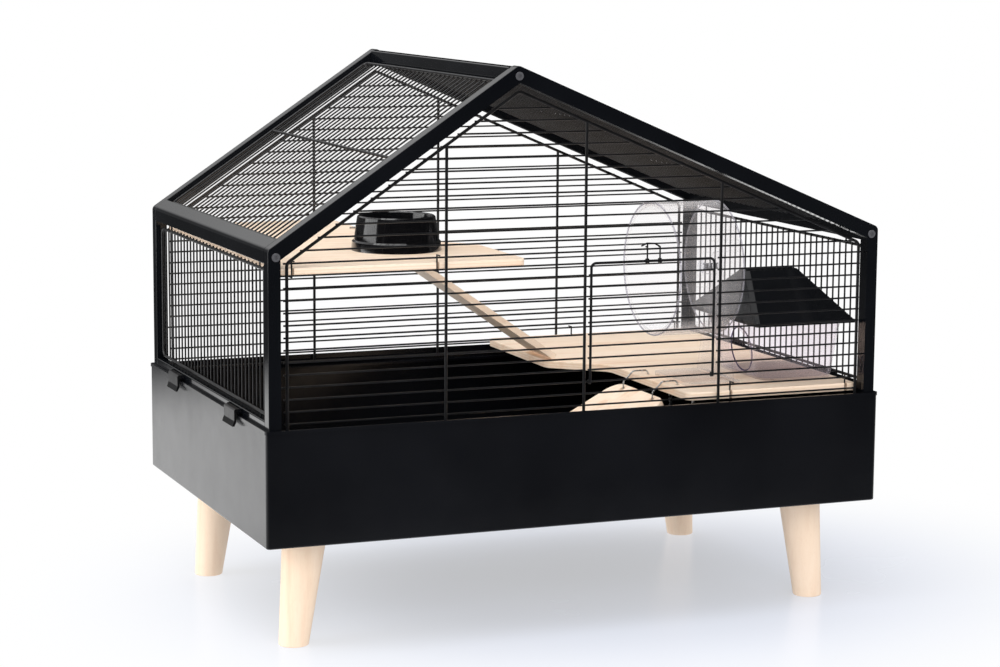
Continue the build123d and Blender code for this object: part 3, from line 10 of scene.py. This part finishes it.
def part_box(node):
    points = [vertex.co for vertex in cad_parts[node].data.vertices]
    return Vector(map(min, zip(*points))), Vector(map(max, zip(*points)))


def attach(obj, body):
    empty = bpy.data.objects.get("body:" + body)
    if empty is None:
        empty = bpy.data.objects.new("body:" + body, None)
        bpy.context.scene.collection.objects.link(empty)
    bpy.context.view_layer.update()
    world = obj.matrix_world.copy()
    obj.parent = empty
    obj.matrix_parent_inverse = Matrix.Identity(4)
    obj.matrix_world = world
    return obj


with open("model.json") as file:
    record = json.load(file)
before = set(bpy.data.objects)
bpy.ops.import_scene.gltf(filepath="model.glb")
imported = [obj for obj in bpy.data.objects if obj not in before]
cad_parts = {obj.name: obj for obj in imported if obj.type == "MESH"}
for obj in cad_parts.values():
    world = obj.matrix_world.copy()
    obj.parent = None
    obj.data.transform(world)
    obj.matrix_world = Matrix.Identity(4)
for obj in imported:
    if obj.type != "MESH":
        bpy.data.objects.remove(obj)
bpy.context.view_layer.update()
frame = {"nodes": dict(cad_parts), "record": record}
nodes = frame["nodes"]

# ---------------------------------------------------------------- shader helpers


def new_material(name):
    material = bpy.data.materials.new(name)
    material.use_nodes = True
    tree = material.node_tree
    shader = tree.nodes["Principled BSDF"]
    return material, tree, shader


def object_coordinates(tree, scale=(1, 1, 1)):
    coordinates = tree.nodes.new("ShaderNodeTexCoord")
    mapping = tree.nodes.new("ShaderNodeMapping")
    mapping.inputs["Scale"].default_value = scale
    tree.links.new(coordinates.outputs["Object"], mapping.inputs["Vector"])
    return mapping.outputs["Vector"]


def noise(tree, vector, scale, detail=4.0, roughness=0.5, distortion=0.0):
    texture = tree.nodes.new("ShaderNodeTexNoise")
    texture.inputs["Scale"].default_value = scale
    texture.inputs["Detail"].default_value = detail
    texture.inputs["Roughness"].default_value = roughness
    texture.inputs["Distortion"].default_value = distortion
    tree.links.new(vector, texture.inputs["Vector"])
    return texture.outputs["Fac"]


def remap(tree, value, low, high, from_low=0.3, from_high=0.7, interpolation="LINEAR"):
    node = tree.nodes.new("ShaderNodeMapRange")
    node.interpolation_type = interpolation
    node.inputs["From Min"].default_value = from_low
    node.inputs["From Max"].default_value = from_high
    node.inputs["To Min"].default_value = low
    node.inputs["To Max"].default_value = high
    tree.links.new(value, node.inputs["Value"])
    return node.outputs["Result"]


def ramp(tree, value, stops):
    node = tree.nodes.new("ShaderNodeValToRGB")
    elements = node.color_ramp.elements
    while len(elements) < len(stops):
        elements.new(0.5)
    for element, (position, colour) in zip(elements, stops):
        element.position = position
        element.color = (*colour, 1)
    tree.links.new(value, node.inputs["Fac"])
    return node.outputs["Color"]


def mix_colour(tree, factor, first, second):
    node = tree.nodes.new("ShaderNodeMix")
    node.data_type = "RGBA"
    for socket, value in ((node.inputs[0], factor), (node.inputs[6], first), (node.inputs[7], second)):
        if isinstance(value, (int, float)):
            socket.default_value = value
        elif isinstance(value, tuple):
            socket.default_value = (*value, 1)
        else:
            tree.links.new(value, socket)
    return node.outputs[2]


def bump(tree, shader, height, strength, distance):
    node = tree.nodes.new("ShaderNodeBump")
    node.inputs["Strength"].default_value = strength
    node.inputs["Distance"].default_value = distance
    tree.links.new(height, node.inputs["Height"])
    tree.links.new(node.outputs["Normal"], shader.inputs["Normal"])


def separate(tree, vector):
    node = tree.nodes.new("ShaderNodeSeparateXYZ")
    tree.links.new(vector, node.inputs[0])
    return node.outputs


def math_node(tree, operation, first, second=None):
    node = tree.nodes.new("ShaderNodeMath")
    node.operation = operation
    for index, value in enumerate((first, second)):
        if value is None:
            continue
        if isinstance(value, (int, float)):
            node.inputs[index].default_value = value
        else:
            tree.links.new(value, node.inputs[index])
    return node.outputs[0]


# ---------------------------------------------------------------- materials


def plastic(name, colour, rough_low, rough_high, grain_scale, bump_strength, specular=0.5, coat=0.0):
    """Dark moulded plastic or gloss paint with faint clouding, smudges and a fine moulded grain."""
    material, tree, shader = new_material(name)
    place = object_coordinates(tree)
    cloud = noise(tree, place, 6.0, 3.0)
    fine = noise(tree, place, grain_scale, 2.0)
    lighter = tuple(min(1.0, c * 1.6 + 0.0015) for c in colour)
    tone = mix_colour(tree, remap(tree, cloud, 0.0, 1.0), colour, lighter)
    tree.links.new(tone, shader.inputs["Base Color"])
    smudge = noise(tree, place, 22.0, 6.0, 0.65)
    tree.links.new(remap(tree, smudge, rough_low, rough_high), shader.inputs["Roughness"])
    shader.inputs["Specular IOR Level"].default_value = specular
    shader.inputs["Coat Weight"].default_value = coat
    shader.inputs["Coat Roughness"].default_value = 0.08
    bump(tree, shader, fine, bump_strength, 0.0004)
    return material


GRAIN_STRETCH = 0.07
FLECK_STRETCH = 0.35
FLECK_DENSITY = 420.0
PLY_PITCH = 0.0034


def wood(name, pale, mid, dark, grain_axis, line_density, ply=False):
    """Lacquered wood with its grain along one axis; ply adds the glued layers on the edges."""
    material, tree, shader = new_material(name)
    stretch = [1.0, 1.0, 1.0]
    stretch[grain_axis] = GRAIN_STRETCH
    place = object_coordinates(tree, tuple(stretch))
    warp = noise(tree, place, 9.0, 3.0)
    lines = noise(tree, place, line_density, 8.0, 0.62, 0.6)
    fibres = noise(tree, place, line_density * 6.0, 3.0, 0.7)
    grain = ramp(tree, lines, [(0.30, dark), (0.46, mid), (0.70, pale)])
    tone = mix_colour(tree, remap(tree, warp, 0.0, 0.45), grain, pale)
    fleck_stretch = [1.0, 1.0, 1.0]
    fleck_stretch[grain_axis] = FLECK_STRETCH
    flecks = noise(tree, object_coordinates(tree, tuple(fleck_stretch)), FLECK_DENSITY, 1.0)
    tone = mix_colour(tree, remap(tree, flecks, 0.0, 0.22, 0.56, 0.72), tone, dark)
    if ply:
        height = separate(tree, object_coordinates(tree))[2]
        wave = math_node(tree, "SINE", math_node(tree, "MULTIPLY", height, 2 * math.pi / PLY_PITCH))
        geometry = tree.nodes.new("ShaderNodeNewGeometry")
        facing = separate(tree, geometry.outputs["True Normal"])[2]
        side = math_node(tree, "SUBTRACT", 1.0, math_node(tree, "ABSOLUTE", facing))
        layer = remap(tree, wave, 0.0, 0.5, 0.0, 1.0)
        upright = remap(tree, side, 0.0, 1.0, 0.6, 0.95)
        edge = math_node(tree, "MULTIPLY", layer, upright)
        tone = mix_colour(tree, edge, tone, dark)
    tree.links.new(tone, shader.inputs["Base Color"])
    tree.links.new(remap(tree, fibres, 0.42, 0.62), shader.inputs["Roughness"])
    bump(tree, shader, fibres, 0.12, 0.0004)
    return material


def powder_coat(name, colour, rough_low, rough_high):
    """Baked powder paint on the wires, with its fine grit."""
    material, tree, shader = new_material(name)
    place = object_coordinates(tree)
    patch = noise(tree, place, 40.0, 4.0)
    lighter = tuple(c * 2.0 + 0.003 for c in colour)
    tone = mix_colour(tree, remap(tree, patch, 0.0, 1.0), colour, lighter)
    tree.links.new(tone, shader.inputs["Base Color"])
    grit = noise(tree, place, 300.0, 2.0)
    tree.links.new(remap(tree, grit, rough_low, rough_high), shader.inputs["Roughness"])
    bump(tree, shader, noise(tree, place, 900.0, 2.0), 0.08, 0.0003)
    return material


def clear_plastic(name, tint, edge_tint, rough_low, rough_high, body, edge):
    """Thin moulded plastic: body is how much shine a square-on face has, edge that of a glancing one."""
    material, tree, shader = new_material(name)
    place = object_coordinates(tree)
    shader.inputs["Base Color"].default_value = (*edge_tint, 1)
    shader.inputs["IOR"].default_value = 1.46
    shader.inputs["Specular IOR Level"].default_value = 0.6
    haze = noise(tree, place, 30.0, 4.0)
    tree.links.new(remap(tree, haze, rough_low, rough_high), shader.inputs["Roughness"])
    bump(tree, shader, noise(tree, place, 24.0, 2.0), 0.05, 0.002)
    rim = tree.nodes.new("ShaderNodeLayerWeight")
    rim.inputs["Blend"].default_value = 0.5
    clear = tree.nodes.new("ShaderNodeBsdfTransparent")
    streak = remap(tree, noise(tree, place, 14.0, 3.0), 0.0, 1.0)
    cleaner = tuple(min(1.0, value + 0.012) for value in tint)
    tree.links.new(mix_colour(tree, streak, tint, cleaner), clear.inputs["Color"])
    blend = tree.nodes.new("ShaderNodeMixShader")
    tree.links.new(remap(tree, rim.outputs["Facing"], body, edge, 0.45, 1.0), blend.inputs["Fac"])
    tree.links.new(clear.outputs[0], blend.inputs[1])
    tree.links.new(shader.outputs[0], blend.inputs[2])
    output = tree.nodes["Material Output"]
    tree.links.new(blend.outputs[0], output.inputs["Surface"])
    return material


def plated_steel(name):
    """Bright zinc plate with a faint spangle."""
    material, tree, shader = new_material(name)
    place = object_coordinates(tree)
    shader.inputs["Metallic"].default_value = 1.0
    spangle = noise(tree, place, 160.0, 5.0)
    tone = ramp(tree, spangle, [(0.3, ZINC_DARK), (0.7, ZINC_PALE)])
    tree.links.new(tone, shader.inputs["Base Color"])
    tree.links.new(remap(tree, spangle, 0.18, 0.36), shader.inputs["Roughness"])
    bump(tree, shader, noise(tree, place, 500.0, 3.0), 0.1, 0.0003)
    return material


ZINC_DARK = (0.52, 0.53, 0.55)
ZINC_PALE = (0.80, 0.81, 0.83)
BEECH_PALE = (0.93, 0.74, 0.57)
BEECH_MID = (0.90, 0.69, 0.51)
BEECH_DARK = (0.83, 0.60, 0.43)
BOARD_PALE = (1.00, 0.83, 0.67)
BOARD_MID = (0.97, 0.76, 0.58)
BOARD_DARK = (0.86, 0.58, 0.38)
CLEAR_EDGE = (0.84, 0.82, 0.84)

finishes = {
    "tray_plastic": plastic("tray_gloss_black", (0.0022, 0.0025, 0.0036), 0.16, 0.24, 260.0, 0.04),
    "frame_paint": plastic("frame_gloss_black", (0.0020, 0.0024, 0.0034), 0.06, 0.12, 380.0, 0.05),
    "roof_plastic": plastic("roof_black", (0.0022, 0.0026, 0.0036), 0.12, 0.20, 500.0, 0.08, specular=0.35),
    "bowl_plastic": plastic(
        "bowl_gloss_black", (0.0020, 0.0020, 0.0026), 0.07, 0.13, 200.0, 0.03, coat=0.4
    ),
    "clip_plastic": plastic("clip_black", (0.0030, 0.0030, 0.0034), 0.28, 0.42, 700.0, 0.12, specular=0.35),
    "screw_caps": plastic("screw_cap_black", (0.060, 0.060, 0.066), 0.22, 0.34, 700.0, 0.10),
    "black_wire": powder_coat("wire_black", (0.0030, 0.0030, 0.0036), 0.30, 0.44),
    "leg_wood": wood("leg_beech", BEECH_PALE, BEECH_MID, BEECH_DARK, 2, 60.0),
    "board_wood": wood("board_ply", BOARD_PALE, BOARD_MID, BOARD_DARK, 0, 46.0, ply=True),
    "plank_wood": wood("plank_ply", BOARD_PALE, BOARD_MID, BOARD_DARK, 0, 52.0),
    "wheel_clear": clear_plastic("wheel_clear", (0.985, 0.980, 0.980), CLEAR_EDGE, 0.05, 0.12, 0.020, 0.45),
    "stand_clear": clear_plastic(
        "stand_clear", (0.980, 0.974, 0.976), (0.84, 0.83, 0.85), 0.05, 0.12, 0.025, 0.36
    ),
    "house_clear": clear_plastic(
        "house_lilac", (0.978, 0.962, 0.975), (0.88, 0.84, 0.92), 0.05, 0.12, 0.025, 0.36
    ),
    "axle_plastic": clear_plastic(
        "axle_clear", (0.95, 0.95, 0.96), (0.78, 0.80, 0.84), 0.06, 0.12, 0.10, 0.60
    ),
    "zinc": plated_steel("zinc_plate"),
}

slot_of = {entry["node"]: entry["material_slot"] for entry in frame["record"]["subparts"]}
for name, node in nodes.items():
    finish = finishes[slot_of[name]]
    for index in range(len(node.data.materials)):
        node.data.materials[index] = finish
    if not node.data.materials:
        node.data.materials.append(finish)

# ---------------------------------------------------------------- rolled rims of the clear mouldings
RIM_WIRE = 0.0011
RIM_STEPS = 96
WIRE_STEPS = 10


def ring(name, centre, radius, wire, finish, body, lean=0.0):
    """A thin round bead about the X direction, leaning by lean about Y."""
    points = []
    faces = []
    for step in range(RIM_STEPS):
        angle = 2 * math.pi * step / RIM_STEPS
        for turn in range(WIRE_STEPS):
            roll = 2 * math.pi * turn / WIRE_STEPS
            reach = radius + wire * math.cos(roll)
            points.append((wire * math.sin(roll), reach * math.cos(angle), reach * math.sin(angle)))
            after = (step + 1) % RIM_STEPS
            beside = (turn + 1) % WIRE_STEPS
            faces.append(
                (
                    step * WIRE_STEPS + turn,
                    after * WIRE_STEPS + turn,
                    after * WIRE_STEPS + beside,
                    step * WIRE_STEPS + beside,
                )
            )
    mesh = bpy.data.meshes.new(name)
    mesh.from_pydata(points, [], faces)
    mesh.polygons.foreach_set("use_smooth", [True] * len(mesh.polygons))
    mesh.materials.append(finish)
    bead = bpy.data.objects.new(name, mesh)
    bpy.context.scene.collection.objects.link(bead)
    bead.location = centre
    bead.rotation_euler = (0, lean, 0)
    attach(bead, body)


rim_finish = clear_plastic("rim_edge", (0.86, 0.85, 0.88), (0.50, 0.49, 0.53), 0.08, 0.16, 0.30, 0.80)
door_finish = clear_plastic("door_edge", (0.40, 0.34, 0.52), (0.10, 0.08, 0.18), 0.08, 0.16, 0.40, 0.85)

# The wheel's two rolled edges.
wheel_low, wheel_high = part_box("wheel")
wheel_middle = [(a + b) / 2 for a, b in zip(wheel_low, wheel_high)]
wheel_radius = (wheel_high[2] - wheel_low[2]) / 2
for side, rim_x in (("left", wheel_low[0]), ("right", wheel_high[0])):
    ring(
        f"wheel_rim_{side}",
        (rim_x, wheel_middle[1], wheel_middle[2]),
        wheel_radius - RIM_WIRE,
        RIM_WIRE,
        rim_finish,
        "running_wheel",
    )

# The edge of the hide house's round door, on a wall that leans out. Its centre is given from the
# house's lowest corner.
DOOR_FROM_CORNER = (0.0127, 0.078, 0.034)
HOUSE_DOOR = tuple(low + step for low, step in zip(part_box("house_body")[0], DOOR_FROM_CORNER))
HOUSE_DOOR_RADIUS = 0.028
HOUSE_DOOR_WIRE = 0.0009
HOUSE_LEAN = math.radians(-6.9)
ring(
    "house_door_rim",
    HOUSE_DOOR,
    HOUSE_DOOR_RADIUS,
    HOUSE_DOOR_WIRE,
    door_finish,
    "cage_top",
    HOUSE_LEAN,
)

# ---------------------------------------------------------------- floor and light
FLOOR_SIZE = 24.0
# The floor's base colour is a painted blue tint for the shade near the cage; further out the white glow
# covers it.
FLOOR_SHADE_TINT = (0.62, 0.69, 0.88)
FLOOR_FRONT_GLOSS = 0.03
FLOOR_SIDE_GLOSS = 1.35
FLOOR_FAR_GLOSS = 0.03
SHADE_LIFT = 0.46
SHADE_CENTRE = (0.10, -0.02, 0.0)
SHADE_STRETCH = (0.85, 1.0, 1.0)
SHADE_NEAR = 0.14
SHADE_FAR = 0.72
floor_mesh = bpy.data.meshes.new("floor")
half = FLOOR_SIZE / 2
floor_mesh.from_pydata(
    [(-half, -half, 0), (half, -half, 0), (half, half, 0), (-half, half, 0)], [], [(0, 1, 2, 3)]
)
floor = bpy.data.objects.new("floor", floor_mesh)
bpy.context.scene.collection.objects.link(floor)
floor_material, tree, shader = new_material("floor_pale_gloss")
place = object_coordinates(tree)
# Painted shade: the blue base colour tints the floor's shade near the cage.
shader.inputs["Base Color"].default_value = (*FLOOR_SHADE_TINT, 1)
tree.links.new(remap(tree, noise(tree, place, 3.0, 3.0), 0.20, 0.28), shader.inputs["Roughness"])
shader.inputs["Specular IOR Level"].default_value = 0.28
path = tree.nodes.new("ShaderNodeLightPath")
glow = tree.nodes.new("ShaderNodeEmission")
glow.inputs["Color"].default_value = (1, 1, 1, 1)
near_side = separate(tree, place)[1]
# In reflections the floor is dark in front and far behind, and bright beside and just behind the cage.
front_glow = remap(tree, near_side, FLOOR_FRONT_GLOSS, FLOOR_SIDE_GLOSS, -0.9, 0.5)
far_glow = remap(tree, near_side, 1.0, FLOOR_FAR_GLOSS, 1.35, 1.9)
gloss_glow = math_node(tree, "MULTIPLY", front_glow, far_glow)
glow_level = tree.nodes.new("ShaderNodeMix")
tree.links.new(path.outputs["Is Glossy Ray"], glow_level.inputs["Factor"])
glow_level.inputs["A"].default_value = 1.0
tree.links.new(gloss_glow, glow_level.inputs["B"])
tree.links.new(glow_level.outputs["Result"], glow.inputs["Strength"])
# Near the cage the floor takes its shade from the lamps; further out it fades to plain white. Where that
# shade shows is painted, by a stretched distance about SHADE_CENTRE, and the glow lifts it there by
# SHADE_LIFT.
off_centre = tree.nodes.new("ShaderNodeVectorMath")
off_centre.operation = "SUBTRACT"
off_centre.inputs[1].default_value = SHADE_CENTRE
tree.links.new(object_coordinates(tree, SHADE_STRETCH), off_centre.inputs[0])
distance = tree.nodes.new("ShaderNodeVectorMath")
distance.operation = "LENGTH"
tree.links.new(off_centre.outputs["Vector"], distance.inputs[0])
fade = remap(tree, distance.outputs["Value"], SHADE_LIFT, 1.0, SHADE_NEAR, SHADE_FAR, "SMOOTHERSTEP")
blend = tree.nodes.new("ShaderNodeMixShader")
tree.links.new(fade, blend.inputs["Fac"])
tree.links.new(shader.outputs[0], blend.inputs[1])
tree.links.new(glow.outputs[0], blend.inputs[2])
tree.links.new(blend.outputs[0], tree.nodes["Material Output"].inputs["Surface"])
floor_mesh.materials.append(floor_material)

# Even and white to the eye; in reflections dark towards the front, the right and the horizon.
world = bpy.data.worlds.new("studio")
bpy.context.scene.world = world
world.use_nodes = True
tree = world.node_tree
background = tree.nodes["Background"]
direction = tree.nodes.new("ShaderNodeTexCoord")
towards = separate(tree, direction.outputs["Generated"])
front_dark = remap(tree, towards[1], 0.02, 0.95, -0.20, 0.40, "SMOOTHSTEP")
skyline = remap(tree, towards[2], 0.10, 1.0, 0.18, 0.36)
right_dark = remap(tree, towards[0], 1.0, 0.05, 0.02, 0.34)
strength = math_node(tree, "MULTIPLY", front_dark, skyline)
strength = math_node(tree, "MULTIPLY", strength, right_dark)
tree.links.new(strength, background.inputs["Strength"])
background.inputs["Color"].default_value = (1.0, 1.0, 1.0, 1)
even = tree.nodes.new("ShaderNodeBackground")
even.inputs["Color"].default_value = (1, 1, 1, 1)
path = tree.nodes.new("ShaderNodeLightPath")
choose = tree.nodes.new("ShaderNodeMixShader")
tree.links.new(path.outputs["Is Glossy Ray"], choose.inputs["Fac"])
tree.links.new(even.outputs[0], choose.inputs[1])
tree.links.new(background.outputs[0], choose.inputs[2])
tree.links.new(choose.outputs[0], tree.nodes["World Output"].inputs["Surface"])


def area_light(name, location, target, size, power, shows=True):
    """A soft box; shows says if it can be seen in glossy surfaces."""
    data = bpy.data.lights.new(name, "AREA")
    data.shape = "RECTANGLE"
    data.size, data.size_y = size
    data.energy = power
    light = bpy.data.objects.new(name, data)
    bpy.context.scene.collection.objects.link(light)
    light.location = location
    light.rotation_euler = (Vector(target) - Vector(location)).to_track_quat("-Z", "Y").to_euler()
    light.visible_glossy = shows


area_light("key_top", (-0.8, -0.4, 3.2), (0, 0, 0.3), (3.0, 2.2), 47)
area_light("left_wall", (-3.2, 0.4, 1.2), (0, 0, 0.4), (2.6, 2.4), 60)
area_light("front_fill", (-0.6, -3.4, 1.6), (0, 0, 0.35), (2.4, 1.8), 42, shows=False)

# ---------------------------------------------------------------- camera
CAMERA_PLACE = Vector((-1.2359, -3.0402, 0.8238))
CAMERA_YAW = math.radians(22.026)
CAMERA_PITCH = math.radians(8.529)
CAMERA_ROLL = math.radians(0.398)
LENS = 92.79
SENSOR_WIDTH = 36.0

forward = Vector(
    (
        math.sin(CAMERA_YAW) * math.cos(CAMERA_PITCH),
        math.cos(CAMERA_YAW) * math.cos(CAMERA_PITCH),
        -math.sin(CAMERA_PITCH),
    )
)
right = Vector((math.cos(CAMERA_YAW), -math.sin(CAMERA_YAW), 0))
up = right.cross(forward)
right_rolled = right * math.cos(CAMERA_ROLL) + up * math.sin(CAMERA_ROLL)
up_rolled = up * math.cos(CAMERA_ROLL) - right * math.sin(CAMERA_ROLL)
camera_data = bpy.data.cameras.new("camera")
camera_data.lens = LENS
camera_data.sensor_width = SENSOR_WIDTH
camera = bpy.data.objects.new("camera", camera_data)
bpy.context.scene.collection.objects.link(camera)
camera.matrix_world = Matrix.Translation(CAMERA_PLACE) @ Matrix(
    (right_rolled, up_rolled, -forward)
).transposed().to_4x4()
bpy.context.scene.camera = camera
bpy.context.scene.view_settings.view_transform = "Standard"
